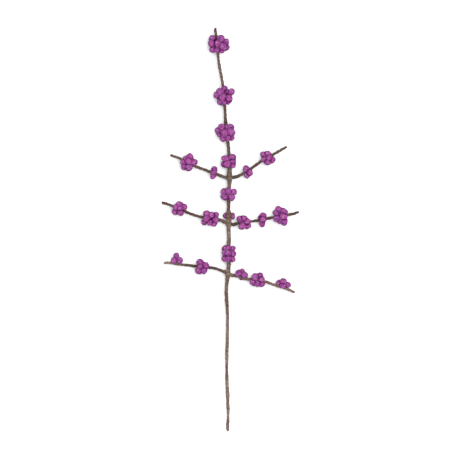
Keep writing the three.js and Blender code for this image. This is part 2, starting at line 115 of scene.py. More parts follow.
# The bunches: the line each sits on, its centre, the half-axes of its shell of berry centres (along
# the line, to the sides, up and down), whether it has a foot on the table, and the berries in view.
# A berry is right and up from the centre, a size, and a level where it isn't on top of the shell.
BUNCHES = {
    "stem_bunch_1": ("stem", (-0.0146, 0.2316), (0.011, 0.012, 0.008), True, (
        (-0.0081, 0.0075), (0.0033, 0.0069, 1.05), (-0.009, 0.0003, 1.1), (-0.0078, -0.0069),
        (-0.0009, 0.0002, 1.05), (0.0056, -0.0035, 1.15), (0.0098, 0.0025, 1.05), (0.0096, -0.0042),
        (-0.0019, -0.0079, 0.95), (0.0042, -0.0083, 0.95), (-0.0025, 0.0069, 0.8, -0.4),
    )),
    "stem_bunch_2": ("stem", (-0.0078, 0.1673), (0.0115, 0.0115, 0.0075), True, (
        (0.0006, 0.0094, 0.9), (-0.0052, 0.0046, 1.1), (-0.0098, 0.0006, 0.95),
        (0.0031, 0.005, 0.85, 0.5), (0.0094, 0.005, 1.15), (-0.0019, -0.0025, 1.1),
        (0.0063, -0.0035, 1.15), (-0.0048, -0.0075), (0.0006, -0.0088, 0.85), (0.0054, -0.0081, 0.85),
    )),
    "stem_bunch_3": ("stem", (-0.0061, 0.1216), (0.011, 0.0115, 0.0075), True, (
        (-0.0048, 0.0069, 1.05), (-0.0098, 0.0025, 0.9), (-0.0079, -0.0019, 0.85, 0.2),
        (0.0021, 0.0063, 0.9, 0.4), (0.0071, 0.0069), (-0.0016, -0.001, 1.15), (0.0071, 0.0003, 1.25),
        (-0.0027, -0.0074), (0.0034, -0.0075), (0.0084, -0.0073, 0.9),
    )),
    "stem_bunch_4": ("stem", (-0.0021, 0.0858), (0.0085, 0.008, 0.0055), True, (
        (-0.0044, 0.0031, 1.1), (0.0047, 0.0049, 1.05), (-0.0013, -0.0039, 1.15), (-0.0059, -0.004, 0.95),
        (0.006, -0.0004, 0.95), (0.0051, -0.0051, 0.95),
    )),
    "stem_bunch_5": ("stem", (-0.0024, 0.0445), (0.007, 0.008, 0.0055), True, (
        (-0.0056, 0.0033, 1.05), (0, 0.0038, 1.05), (0.0065, 0.0028), (-0.0051, -0.0036, 1.1),
        (0.0046, -0.0041, 1.1), (-0.0003, -0.0042, 0.8, 0.3),
    )),
    "stem_bunch_6": ("stem", (-0.0018, 0.0173), (0.005, 0.006, 0.002), True, (
        (-0.0037, 0.0004, 0.95, -0.8), (0.0041, 0, 0.95, -0.8),
    )),
    "stem_bunch_7": ("stem", (-0.0021, LOWEST_BUNCH_Y), (0.013, 0.008, 0.0055), True, (
        (-0.0047, 0.0065, 0.9), (-0.0003, 0.0066, 0.95), (0.0053, 0.0062, 0.9), (-0.005, 0.0006, 0.95),
        (-0.0003, 0.001, 1.15), (0.0055, -0.0003, 0.95), (-0.0049, -0.0069, 0.95), (0, -0.0069, 1.05),
        (0.0049, -0.0072),
    )),
    "upper_left_bunch_1": ("upper_left", (-0.0515, 0.084), (0.009, 0.009, 0.0055), True, (
        (0.0013, 0.0071, 1.05), (-0.0038, 0.0056, 0.9), (-0.0006, 0.0019, 1.05), (-0.0071, 0.0006, 0.95),
        (0.0063, 0.0003), (-0.0003, -0.0063, 1.1), (-0.0063, -0.0056),
    )),
    "upper_left_bunch_2": ("upper_left", (-0.0206, 0.0711), (0.005, 0.006, 0.004), False, (
        (0.001, 0.0041), (-0.0009, -0.0038, 1.05), (-0.0004, 0.0004, 0.9),
    )),
    "upper_right_bunch_1": ("upper_right", (0.0466, 0.0896), (0.008, 0.008, 0.0055), True, (
        (-0.0052, 0.0044, 0.95), (0.0003, 0.0053, 1.05), (-0.0047, -0.0019), (-0.0003, -0.005, 1.1),
        (0.0019, 0), (0.006, -0.0025),
    )),
    "upper_right_bunch_2": ("upper_right", (0.0216, 0.0722), (0.006, 0.0065, 0.004), False, (
        (-0.002, 0.004, 1.05), (0.0028, -0.001), (-0.0009, -0.0048, 0.9),
    )),
    "middle_left_bunch_1": ("middle_left", (-0.0635, 0.0269), (0.0085, 0.008, 0.0052), True, (
        (0.0004, 0.005), (-0.0044, 0.001), (0.0063, 0.0016, 0.95), (-0.0056, -0.0046),
        (0.0013, -0.0054, 1.1), (0.0013, -0.0003, 0.9),
    )),
    "middle_left_bunch_2": ("middle_left", (-0.0255, 0.0144), (0.0105, 0.009, 0.0055), True, (
        (-0.0041, 0.006, 1.05), (-0.0041, -0.0009, 1.15), (-0.0074, -0.0049), (0.0025, 0.0041),
        (0.0074, 0.0041, 1.05), (0.0078, -0.0021, 0.95), (-0.0004, -0.0052), (0.0053, -0.0068, 0.95),
    )),
    "middle_right_bunch_1": ("middle_right", (0.0629, 0.0179), (0.007, 0.011, 0.0055), True, (
        (-0.0027, 0.0079), (-0.0056, 0.0034, 1.1), (0.004, 0.005, 1.15), (-0.0048, -0.0041, 1.1),
        (0.0037, -0.0012, 1.1), (0.0044, -0.0079, 1.1), (-0.0009, -0.007, 1, 0.5),
    )),
    "middle_right_bunch_2": ("middle_right", (0.0403, 0.0129), (0.0055, 0.0065, 0.004), False, (
        (0.0006, 0.0047, 1.05), (-0.0022, 0.0024, 0.95, 0.3), (0.0006, 0, 1.05), (-0.0003, -0.0058, 0.95),
    )),
    "middle_right_bunch_3": ("middle_right", (0.0169, 0.0094), (0.0075, 0.008, 0.005), True, (
        (-0.0046, 0.0041, 1.05), (0.0004, 0.0054), (0.0048, 0.001, 1.05), (-0.0021, -0.0046, 1.1),
        (0.005, -0.005),
    )),
    "lower_left_bunch_1": ("lower_left", (-0.0671, -0.0365), (0.005, 0.0055, 0.0035), False, (
        (-0.0002, 0.0042, 0.9), (-0.0034, -0.0019), (0.0042, -0.0019, 0.95),
    )),
    "lower_left_bunch_2": ("lower_left", (-0.0353, -0.0459), (0.008, 0.008, 0.005), True, (
        (-0.0025, 0.0056, 1.05), (0.005, 0.0015, 1.1), (-0.0042, -0.005, 1.1), (0.0025, -0.0053, 1.05),
        (-0.0021, 0.0003),
    )),
    "lower_right_bunch_1": ("lower_right", (0.066, -0.0674), (0.008, 0.005, 0.0035), False, (
        (-0.005, 0.0009, 0.95, 0), (0.0006, 0.003, 1.1), (0, -0.0025, 1.05), (0.0062, -0.0013, 0.95),
    )),
    "lower_right_bunch_2": ("lower_right", (0.0339, -0.0628), (0.008, 0.008, 0.005), True, (
        (-0.003, 0.0037, 1.15), (0.0034, 0.0056), (0.0053, 0.0012, 1.05), (-0.0054, -0.003, 1.05),
        (0, -0.0048), (0.0054, -0.0047),
    )),
    "lower_right_bunch_3": ("lower_right", (0.0148, -0.0559), (0.0065, 0.005, 0.0035), False, (
        (-0.0046, 0.0015), (0, 0.0038, 0.9, 0), (0.0031, -0.0006, 1.05), (-0.0003, -0.004, 0.85, -1),
    )),
}

# How the twigs taper
TWIG_ROOT_RADIUS = 0.0022
TWIG_RADIUS = 0.0019
TWIG_TIP_RADIUS = 0.0016
TWIG_ROOT_SHARE = 0.2

# How a bunch is packed
BERRY_SPREAD = 0.97
BERRY_PRESS = 0.0007
BERRY_LEAST_SPACING = 0.0064
HIDDEN_SHIFT = 0.0008

# How the core of a bunch is made
CORE_DETAIL = 4
CORE_SHARE = 0.95
CORE_INSET = 0.0016
CORE_LUMPS = 0.002

# How a berry differs from a ball of radius 1
BALL_SHAPES = 5
BALL_DETAIL = 2
BALL_CORNERS = 1.06
BALL_LUMPS = 0.2
BALL_LUMPS_OUTWARD = 0.6
BALL_ROUNDING = 2
BALL_STRETCH = 0.1

# How a bunch is felted into one skin, and how its tufts compare with its dents
FELT_GRAIN = 0.00036
FELT_SOFTENING = 0.5
FELT_ROUNDS = 1
TUFT_SIZE_SHARE = 0.4
TUFT_DEPTH_SHARE = 0.8

# How far the painted shade of a crease reaches from the next berry, and from the core in shares of its
# size
PAINTED_CREASE_REACH = 0.0018
CORE_PAINTED_CREASE_START = 1.02
CORE_PAINTED_CREASE_WIDTH = 0.22

# Where no fibres grow: inside another berry, on the core and on the table
BURIED_SHARE = 0.93
CORE_BARE = 1.05
TABLE_TOUCH = 0.00001

# How a loose fibre varies and runs, in shares of its length, and how thin it is at its bend
FIBRE_SIDES = 3
FIBRE_LENGTHS = (0.5, 1.3)
FIBRE_LIFTS = (0.25, 0.75)
FIBRE_LEAN = 0.6
FIBRE_TIP_LIFTS = (-0.25, 0.3)
FIBRE_STRAY = 0.7
FIBRE_TAPER = 0.8

# What the loose fibres are marked with: their tone, no painted crease shade, and a middling height that
# gives them a little painted shade on the sides
BERRY_FIBRE_MARKS = {"tone": 1, "painted_crease_shade": 0, "top": 0.5}
STEM_FIBRE_DARKNESS = 0.3

# The start of a run of draws, and how each draw follows from the last
SEED = 20
DRAW_FACTOR = 1664525
DRAW_STEP = 1013904223
DRAW_RANGE = 2**32

# How dark the wool of each line is, at even steps from its root to its tip, and paler where under 0
LINE_DARKNESS = {
    "stem": (-0.1, -0.05, 0.08, -0.05, 0.58, 0.38, 0.76), "upper_left": (0.98, 0.2, 0.8),
    "upper_right": (0.7, 0.48, 0.72), "middle_left": (0.56, 0.42, 0.36),
    "middle_right": (0.82, 0.66, 0.36), "lower_left": (0.1, 0.5, 0.96, 0, -0.2),
    "lower_right": (0.12, -0.2, -0.28),
}

# How a line is searched for the place nearest a bunch, and how its tube is divided
LINE_SAMPLES = 400
STEPS_PER_BEND = 14
TUBE_ROUNDING = 8
HANDLES_PER_TANGENT = 3

# How the wool is wound on a tube
RIDGE_MIDDLE = 0.6
LUMPS_PER_METRE = 190
LEAST_REACH = 0.000001
HALF_TURN = 0.5

# The rounded ends of a tube: how far each step reaches and how wide it is, as shares of its radius
DOME_STEPS = ((0.375, 0.87), (0.65, 0.5), (0.75, 0.08))

# The webs of fibres in all the wool, and the soft lumps under them
WEB_SCALES = (1, 1.7, 2.9)
WEB_DETAIL = 1.5
WEB_DISTORTION = 1.2
WEB_HALF_WIDTH = 0.05
WEB_HEIGHT = 0.4
LUMP_SCALE = 0.4
LUMP_DETAIL = 3
NOISE_MIDDLE = 0.5

# How matte the wool is, and how much relief its webs and lumps have
WOOL_ROUGHNESS = 0.95
WOOL_SHINE = 0.02
WOOL_RELIEF = 0.9
WOOL_RELIEF_HEIGHT = 0.0004

# How fine each pattern is: its scale, its detail and its distortion
BERRY_WEB_SCALE = 900
DYE_NOISE = (330, 4, 0.8)
TUFT_NOISE = (480, 5, 1.6)
PALE_NOISE = (440, 5, 1.6)
DEPTH_NOISE = (150, 1)
STEM_WEB_SCALE = 1100
WARM_NOISE = (38, 2)
PATCH_NOISE = (520, 4, 0.8)
STRAND_NOISE = (1, 3, 0.4)
GRAIN_NOISE = (60, 4)

# How many strands and hairs of wool lie across a turn and along it
STRANDS = (4, 2)
HAIRS = (20, 3)

# The range that each pattern is read over, then the shares of a colour that it is carried to
DYE_RANGE = (0.36, 0.64)
TUFT_RANGE = (0.56, 0.3, 0, 0.85)
PALE_RANGE = (0.47, 0.72, 0, 0.95)
BLOOM_RANGE = (0.3, 0.7, 0.2, 0.6)
DEPTH_RANGE = (0.36, 0.56, 0.48, 1)
# The painted shade in the creases between the berries and over the core
PAINTED_CREASE_SHADE_RANGE = (0.03, 0.95, 0, 0.95)
# The painted shade on each berry's sides below its top
PAINTED_FLANK_SHADE_RANGE = (0.8, -0.1, 0, 0.55)
COMBED_RANGE = (0.6, 1.1)
WARM_RANGE = (0.42, 0.58)
PATCH_RANGE = (0.34, 0.66)
SHADE_RANGE = (0.3, 1.05, 0, 0.85)
# The painted shade in the grooves between the turns of wool
PAINTED_GROOVE_SHADE_RANGE = (0.5, 0, 0, 0.75)
GRAIN_RANGE = (0.3, 0.7, 0, 0.02)

# How much each pattern counts, and the tone that leaves the dye as it is
TONE_MIDDLE = 0.5
TONE_WEIGHT = 1.1
HAIR_WEIGHT = 0.7
COMBED_WEIGHT = 0.75
PATCH_WEIGHT = 0.35
PALE_WEB_WEIGHT = 0.22
COMBED_RELIEF = 0.6

# The table under the sprig
TABLE_SIZE = 8
TABLE_GRAIN = (0.8, 0.8, 0.8)
TABLE_ROUGHNESS = 0.9
TABLE_SHINE = 0.1

# Where the camera stands for the photograph's frame of 450 by 450 pixels
FRAME_WIDTH = 0.5625
FRAME_CENTRE = (-0.0065, 0.006)
FRAME_HEIGHT = 0.009
LENS = 150
SENSOR = 36

# Where the large lamp hangs, and how wide it is
KEY_PLACE = (0.3, 0.15, 1.8)
KEY_SIZE = 1.4


class SprigSizes(bpy.types.PropertyGroup):
    """The sizes of the sprig that a user would change."""

    berry_radius: bpy.props.FloatProperty(
        name="Berry radius", description="Radius of a berry of size 1",
        default=0.0042, precision=5, subtype="DISTANCE", unit="LENGTH",
    )
    berry_dents: bpy.props.FloatProperty(
        name="Berry dents", description="Depth of the soft dents that felting leaves in a berry",
        default=0.0006, precision=5, subtype="DISTANCE", unit="LENGTH",
    )
    berry_fibres: bpy.props.IntProperty(
        name="Berry fibres", description="Loose fibres that stand out of each berry",
        default=120, min=0,
    )
    wrap_pitch: bpy.props.FloatProperty(
        name="Wrap pitch", description="Distance along the stem from one turn of wool to the next",
        default=0.0052, precision=5, subtype="DISTANCE", unit="LENGTH",
    )
    wrap_ridge: bpy.props.FloatProperty(
        name="Wrap ridge", description="Height of each turn of wool above the groove beside it",
        default=0.0004, precision=5, subtype="DISTANCE", unit="LENGTH",
    )
    wrap_lumps: bpy.props.FloatProperty(
        name="Wrap lumps", description="How far the wrapped stem swells and thins by chance",
        default=0.0005, precision=5, subtype="DISTANCE", unit="LENGTH",
    )
    stem_fibres: bpy.props.IntProperty(
        name="Stem fibres", description="Loose fibres that stand out of the stem and the twigs",
        default=5000, min=0,
    )
    fibre_length: bpy.props.FloatProperty(
        name="Fibre length", description="Length of a loose wool fibre",
        default=0.0011, precision=5, subtype="DISTANCE", unit="LENGTH",
    )
    fibre_thickness: bpy.props.FloatProperty(
        name="Fibre thickness", description="Thickness of a loose wool fibre at its root",
        default=0.00007, precision=6, subtype="DISTANCE", unit="LENGTH",
    )


class SprigColours(bpy.types.PropertyGroup):
    """The colours of the wool that a user would change."""

    berry_magenta: bpy.props.FloatVectorProperty(
        name="Berry magenta", description="The pinker of the two purples that the felt is mixed from",
        default=(0.3, 0.015, 0.219), subtype="COLOR", min=0, max=1,
    )
    berry_violet: bpy.props.FloatVectorProperty(
        name="Berry violet", description="The bluer of the two purples that the felt is mixed from",
        default=(0.195, 0.01, 0.199), subtype="COLOR", min=0, max=1,
    )
    # Dark plum used for the painted shade in the creases, over the core and on the berries' sides, and
    # for the felt's own dark mottles
    berry_dark_and_painted_shade: bpy.props.FloatVectorProperty(
        name="Berry crease", description="The felt in the gaps between the berries",
        default=(0.043, 0.001, 0.036), subtype="COLOR", min=0, max=1,
    )
    berry_bloom: bpy.props.FloatVectorProperty(
        name="Berry bloom", description="The pale fibres that lie on the felt",
        default=(0.44, 0.242, 0.412), subtype="COLOR", min=0, max=1,
    )
    wool_grey: bpy.props.FloatVectorProperty(
        name="Wool grey", description="The palest wool of the stem",
        default=(0.262, 0.192, 0.154), subtype="COLOR", min=0, max=1,
    )
    wool_red: bpy.props.FloatVectorProperty(
        name="Wool red", description="The warm wool of the stem",
        default=(0.15, 0.083, 0.064), subtype="COLOR", min=0, max=1,
    )
    # Used for the wool's own dark streaks and twigs, and for the painted shade in the grooves between the
    # turns
    wool_dark_and_painted_shade: bpy.props.FloatVectorProperty(
        name="Wool dark", description="The darkest wool, in the grooves and on the twigs",
        default=(0.026, 0.014, 0.011), subtype="COLOR", min=0, max=1,
    )


class SprigStage(bpy.types.PropertyGroup):
    """The table and the light that a user would change."""

    table_colour: bpy.props.FloatVectorProperty(
        name="Table", description="The pale table under the sprig",
        default=(0.72, 0.72, 0.72), subtype="COLOR", min=0, max=1,
    )
    sky_light: bpy.props.FloatProperty(
        name="Sky light", description="Strength of the soft light from overhead", default=1.25, min=0,
    )
    horizon_light: bpy.props.FloatProperty(
        name="Horizon light", description="Strength of the soft light from the sides", default=0.1, min=0,
    )
    key_light: bpy.props.FloatProperty(
        name="Key light", description="Power of the large lamp above and to the right",
        default=47, min=0, unit="POWER",
    )


# Draws and lines


class Draws:
    """A run of draws between 0 and 1 that comes out the same each time."""

    def __init__(self, seed):
        self.state = seed

    def next(self):
        self.state = (self.state * DRAW_FACTOR + DRAW_STEP) % DRAW_RANGE
        return self.state / DRAW_RANGE

    def spread(self, reach):
        """A draw between -reach and reach."""
        return reach * (2 * self.next() - 1)


def lerp(start, end, share):
    return start + (end - start) * share


def stem_height(y):
    """Height of the stem's axis above the table."""
    share = min(max((y - CUT_END_Y) / (LOWEST_BUNCH_Y - CUT_END_Y), 0), 1)
    lift = share * share * (3 - 2 * share)
    rise = max(0, (y - LOWEST_BUNCH_Y) / (TIP_Y - LOWEST_BUNCH_Y))
    return lerp(CUT_END_HEIGHT, LOWEST_BUNCH_HEIGHT, lift) + (TIP_HEIGHT - LOWEST_BUNCH_HEIGHT) * rise


def twig_radius(share):
    """Radius of a twig at a share of its length."""
    swelling = max(0, 1 - share / TWIG_ROOT_SHARE)
    return lerp(TWIG_RADIUS, TWIG_TIP_RADIUS, share) + (TWIG_ROOT_RADIUS - TWIG_RADIUS) * swelling


def line_of(name):
    """The points and radii that the stem or a twig runs through."""
    if name == "stem":
        points = [Vector((x, y, stem_height(y))) for x, y, _ in STEM_BENDS]
        return points, [radius for _, _, radius in STEM_BENDS]
    tip_height, bends = TWIGS[name]
    root_height = stem_height(bends[0][1])
    shares = [i / (len(bends) - 1) for i in range(len(bends))]
    points = [Vector((x, y, lerp(root_height, tip_height, s))) for (x, y), s in zip(bends, shares)]
    return points, [twig_radius(share) for share in shares]


def tangents_of(points):
    """The way that a smooth line through the points heads at each of them."""
    padded = [2 * points[0] - points[1], *points, 2 * points[-1] - points[-2]]
    return [(after - before) / 2 for before, after in zip(padded, padded[2:])]


def point_on(points, tangents, place):
    """The point and heading at a place on the line, counted in bends."""
    i = min(int(place), len(points) - 2)
    t = place - i
    start, end, out, into = points[i], points[i + 1], tangents[i], tangents[i + 1]
    point = (
        start * (2 * t**3 - 3 * t**2 + 1) + out * (t**3 - 2 * t**2 + t)
        + end * (3 * t**2 - 2 * t**3) + into * (t**3 - t**2)
    )
    heading = (
        start * (6 * t**2 - 6 * t) + out * (3 * t**2 - 4 * t + 1)
        + end * (6 * t - 6 * t**2) + into * (3 * t**2 - 2 * t)
    )
    return point, heading.normalized()


def nearest_on(name, x, y):
    """The point of a line nearest a place on the table, and the line's heading there."""
    points, _ = line_of(name)
    tangents = tangents_of(points)
    places = [(len(points) - 1) * i / LINE_SAMPLES for i in range(LINE_SAMPLES + 1)]
    found = [point_on(points, tangents, place) for place in places]
    return min(found, key=lambda pair: math.hypot(pair[0].x - x, pair[0].y - y))


# Shared steps of modelling


def deselect_all():
    bpy.ops.object.select_all(action="DESELECT")


def choose(piece):
    """Makes a piece the only one that the next operator acts on."""
    deselect_all()
    piece.select_set(True)
    bpy.context.view_layer.objects.active = piece


def join_pieces(pieces, into):
    """Joins pieces into one object, which keeps its name."""
    choose(into)
    for piece in pieces:
        piece.select_set(True)
    bpy.ops.object.join()
    return into


def remove_pieces(pieces):
    deselect_all()
    for piece in pieces:
        piece.select_set(True)
    bpy.ops.object.delete()


def coordinates(mesh):
    """The places of a mesh's points, one to a row."""
    flat = np.empty(3 * len(mesh.vertices))
    mesh.vertices.foreach_get("co", flat)
    return flat.reshape(-1, 3)


def press_flat(piece):
    """Flattens what reaches below the table against it."""
    choose(piece)
    bpy.ops.object.mode_set(mode="EDIT")
    bpy.ops.mesh.select_mode(type="VERT")
    bpy.ops.mesh.select_all(action="DESELECT")
    bpy.ops.object.mode_set(mode="OBJECT")
    below = coordinates(piece.data)[:, 2] < 0
    piece.data.vertices.foreach_set("select", below)
    if below.any():
        bpy.ops.object.mode_set(mode="EDIT")
        bpy.ops.transform.resize(value=(1, 1, 0), center_override=(0, 0, 0))
        bpy.ops.object.mode_set(mode="OBJECT")


def dent(piece, name, size, depth):
    """Dents a piece with soft noise of that size and depth."""
    clouds = bpy.data.textures.new(name, "CLOUDS")
    clouds.noise_scale = size
    clouds.noise_depth = 1
    choose(piece)
    modifier = piece.modifiers.new(name, "DISPLACE")
    modifier.texture = clouds
    modifier.texture_coords = "LOCAL"
    modifier.strength = depth
    bpy.ops.object.modifier_apply(modifier=name)


def mark(mesh, name, values):
    """Stores a value at each point of a mesh, or one value at them all, for its material to read."""
    layer = mesh.attributes.new(name, "FLOAT", "POINT")
    layer.data.foreach_set("value", np.full(len(mesh.vertices), values, dtype=np.float32))


def finish_piece(piece, node, material):
    """Hands a finished piece over: its finish, its shading and the node that it stands for."""
    piece.name = f"{node}_wool"
    piece.data.materials.clear()
    piece.data.materials.append(material)
    choose(piece)
    bpy.ops.object.shade_smooth()
    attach(piece, BODY)
    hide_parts(node)


# Loose fibres


def fibre_points(root, normal, sizes, draws):
    """One loose fibre: a tapered three-sided hair that leaves the wool, bends and runs along it."""
    side = normal.orthogonal().normalized()
    side.rotate(Matrix.Rotation(2 * math.pi * draws.next(), 3, normal))
    across = normal.cross(side)
    half_length = sizes.fibre_length * lerp(*FIBRE_LENGTHS, draws.next()) / 2
    lift = lerp(*FIBRE_LIFTS, draws.next())
    bend = root + (normal * lift + side * FIBRE_LEAN) * half_length
    tip_lift = lerp(*FIBRE_TIP_LIFTS, draws.next())
    stray = draws.spread(FIBRE_STRAY)
    tip = bend + (normal * tip_lift + side + across * stray) * half_length
    start = root - normal * sizes.fibre_thickness
    ways = (across, normal - across, -across - normal)
    corners = [way.normalized() * (sizes.fibre_thickness / 2) for way in ways]
    lower = [start + corner for corner in corners]
    upper = [bend + corner * FIBRE_TAPER for corner in corners]
    return [*lower, *upper, tip]


def loose_fibres(piece, count, sizes, draws, skip):
    """A mesh of loose fibres rooted at random faces of a piece, apart from those to skip."""
    faces = [face for face in piece.data.polygons if not skip[face.vertices[0]]]
    areas = np.cumsum([face.area for face in faces])
    points, polygons = [], []
    for _ in range(count):
        face = faces[int(np.searchsorted(areas, draws.next() * areas[-1]))]
        first = len(points)
        points += fibre_points(face.center, face.normal, sizes, draws)
        tip = first + 2 * FIBRE_SIDES
        lower = range(first, first + FIBRE_SIDES)
        upper = range(first + FIBRE_SIDES, tip)
        polygons.append(tuple(reversed(lower)))
        for i in range(FIBRE_SIDES):
            j = (i + 1) % FIBRE_SIDES
            polygons.append((lower[i], lower[j], upper[j], upper[i]))
            polygons.append((upper[i], upper[j], tip))
    for point in points:
        point.z = max(point.z, 0)
    mesh = bpy.data.meshes.new("loose_fibres")
    mesh.from_pydata(points, [], polygons)
    fibres = bpy.data.objects.new("loose_fibres", mesh)
    bpy.context.collection.objects.link(fibres)
    return fibres


# The wrapped stem


def domed_line(name):
    """A line carried on into a dome at each end: points, radii, and tangents in and out of each point."""
    points, radii = line_of(name)
    tangents = tangents_of(points)
    first = tangents[0].normalized() * radii[0]
    last = tangents[-1].normalized() * radii[-1]
    start = [points[0] - first * reach for reach, _ in reversed(DOME_STEPS)]
    end = [points[-1] + last * reach for reach, _ in DOME_STEPS]
    start_radii = [radii[0] * share for _, share in reversed(DOME_STEPS)]
    end_radii = [radii[-1] * share for _, share in DOME_STEPS]
    still = [Vector()] * len(DOME_STEPS)
    arriving = [*still, Vector(), *tangents[1:], *still]
    leaving = [*still, *tangents[:-1], Vector(), *still]
    return [*start, *points, *end], [*start_radii, *radii, *end_radii], arriving, leaving


def wrapped_tube(name):
    """A tube along one line, with domed ends, and how many rings of points it has."""
    points, radii, arriving, leaving = domed_line(name)
    deselect_all()
    bpy.ops.curve.primitive_bezier_curve_add()
    tube = bpy.context.object
    curve = tube.data
    knots = curve.splines[0].bezier_points
    knots.add(len(points) - len(knots))
    for knot, point, radius, into, out in zip(knots, points, radii, arriving, leaving):
        knot.handle_left_type = knot.handle_right_type = "FREE"
        knot.co = point
        knot.handle_left = point - into / HANDLES_PER_TANGENT
        knot.handle_right = point + out / HANDLES_PER_TANGENT
        knot.radius = radius
    curve.dimensions = "3D"
    curve.twist_mode = "Z_UP"
    curve.bevel_depth = 1
    curve.bevel_resolution = TUBE_ROUNDING
    curve.resolution_u = STEPS_PER_BEND
    bpy.ops.object.convert(target="MESH")
    bpy.ops.object.mode_set(mode="EDIT")
    bpy.ops.mesh.select_all(action="SELECT")
    bpy.ops.mesh.fill_holes(sides=0)
    bpy.ops.mesh.normals_make_consistent(inside=False)
    bpy.ops.object.mode_set(mode="OBJECT")
    return tube, STEPS_PER_BEND * (len(points) - 1) + 1


def wrap_places(spots):
    """Metres along a tube to each ring, turns round it to each point, and each point from its centre."""
    centres = spots.mean(axis=1)
    along = np.concatenate([[0], np.cumsum(np.linalg.norm(np.diff(centres, axis=0), axis=1))])
    heading = np.gradient(centres, axis=0)
    heading /= np.linalg.norm(heading, axis=1, keepdims=True)
    side = np.cross(heading, UP)
    side /= np.linalg.norm(side, axis=1, keepdims=True)
    above = np.cross(side, heading)
    out = spots - centres[:, None]
    leftward = -(out * side[:, None]).sum(axis=2)
    upward = (out * above[:, None]).sum(axis=2)
    around = np.arctan2(leftward, upward) / (2 * math.pi) + HALF_TURN
    return along, around, out


def lay_wrap_map(mesh, along, around):
    """Lays a map on a tube: metres along it, and turns round it from a seam underneath."""
    layer = mesh.uv_layers.new(name="wrap")
    _, sides = around.shape
    for face in mesh.polygons:
        places = [divmod(index, sides) for index in face.vertices]
        values = [around[place] for place in places]
        crosses_seam = max(values) - min(values) > HALF_TURN
        for loop, (ring, _), value in zip(face.loop_indices, places, values):
            next_turn = crosses_seam and value < HALF_TURN
            layer.data[loop].uv = (along[ring], value + next_turn)


def wind_wool(tube, rings, darkness, sizes):
    """Raises the turns of wool on a tube, lays its map, and marks how dark the wool is along it."""
    mesh = tube.data
    spots = coordinates(mesh).reshape(rings, -1, 3)
    along, around, out = wrap_places(spots)
    turns = along[:, None] / sizes.wrap_pitch + around
    ridge = np.abs(np.sin(math.pi * turns)) - RIDGE_MIDDLE
    lumps = np.array([[noise.noise(Vector(spot) * LUMPS_PER_METRE) for spot in ring] for ring in spots])
    reach = np.linalg.norm(out, axis=2)
    fullness = np.clip(reach / reach.max(axis=1).mean(), 0, 1)
    swell = (ridge * sizes.wrap_ridge + lumps * sizes.wrap_lumps) * fullness
    spots = spots + out / np.maximum(reach, LEAST_REACH)[..., None] * swell[..., None]
    mesh.vertices.foreach_set("co", spots.ravel())
    lay_wrap_map(mesh, along, around)
    steps = np.linspace(0, rings, len(darkness))
    shades = np.interp(range(rings), steps, darkness)
    mark(mesh, "darkness", np.repeat(shades, around.shape[1]))
    mesh.update()


# Berries


def felt_ball(seed):
    """A ball felted by hand, of radius 1: no two sides of it are quite alike."""
    deselect_all()
    bpy.ops.mesh.primitive_ico_sphere_add(subdivisions=BALL_DETAIL, radius=BALL_CORNERS)
    ball = bpy.context.object
    bpy.ops.object.mode_set(mode="EDIT")
    bpy.ops.mesh.select_all(action="SELECT")
    bpy.ops.transform.vertex_random(offset=BALL_LUMPS, normal=BALL_LUMPS_OUTWARD, seed=seed)
    bpy.ops.object.mode_set(mode="OBJECT")
    rounding = ball.modifiers.new("rounding", "SUBSURF")
    rounding.levels = BALL_ROUNDING
    rounding.render_levels = BALL_ROUNDING
    bpy.ops.object.modifier_apply(modifier="rounding")
    return ball


def bunch_frame(bunch, sizes):
    """The centre of a bunch, the way its line heads, the way to its side, and how far it hangs."""
    line, at, (_, _, deep), foot, _ = bunch
    point, heading = nearest_on(line, *at)
    side = heading.cross(UP).normalized()
    under = point.z + BERRY_PRESS - sizes.berry_radius if foot else deep
    return Vector((*at, point.z)), heading, side, under


def berry_places(bunch, sizes, draws):
    """Where the berries sit: those in view, the foot, then hidden ones where there is room."""
    _, _, (long, wide, deep), foot, berries = bunch
    _, heading, side, under = bunch_frame(bunch, sizes)

    def shell_share(offset):
        along = offset.dot(heading) / long
        across = offset.dot(side) / wide
        return math.sqrt(max(0, 1 - along * along - across * across))

    def place_of(right, up, size=1, level=None):
        offset = Vector((right, up, 0)) * BERRY_SPREAD
        share = shell_share(offset) if level is None else level
        offset.z = share * (under if share < 0 else deep)
        return offset, sizes.berry_radius * size

    places = [place_of(*berry) for berry in berries]
    in_view = list(places)
    if foot:
        places.append((Vector((0, 0, -under)), sizes.berry_radius))
    for offset, radius in in_view:
        right = offset.x + draws.spread(HIDDEN_SHIFT)
        up = offset.y + draws.spread(HIDDEN_SHIFT)
        hidden = Vector((right, up, 0))
        hidden.z = -under * shell_share(hidden)
        if all((place - hidden).length > BERRY_LEAST_SPACING for place, _ in places):
            places.append((hidden, min(radius, sizes.berry_radius)))
    return places


def bunch_core(bunch, sizes):
    """The felt core that the berries stand out of, and the matrix that made it from a unit ball."""
    _, _, (long, wide, deep), _, _ = bunch
    centre, heading, side, under = bunch_frame(bunch, sizes)
    above = side.cross(heading)
    turn = Matrix((side, heading, above)).transposed().to_4x4()
    half_height = CORE_SHARE * (deep + under) / 2
    scale = Matrix.Diagonal((wide - CORE_INSET, long - CORE_INSET, half_height, 1))
    move = Matrix.Translation(centre + UP * CORE_SHARE * (deep - under) / 2)
    placed = move @ turn @ scale
    deselect_all()
    bpy.ops.mesh.primitive_ico_sphere_add(subdivisions=CORE_DETAIL, radius=1)
    core = bpy.context.object
    core.matrix_world = placed
    bpy.ops.object.transform_apply(location=True, rotation=True, scale=True)
    dent(core, "core_lumps", sizes.berry_radius, CORE_LUMPS)
    return core, placed


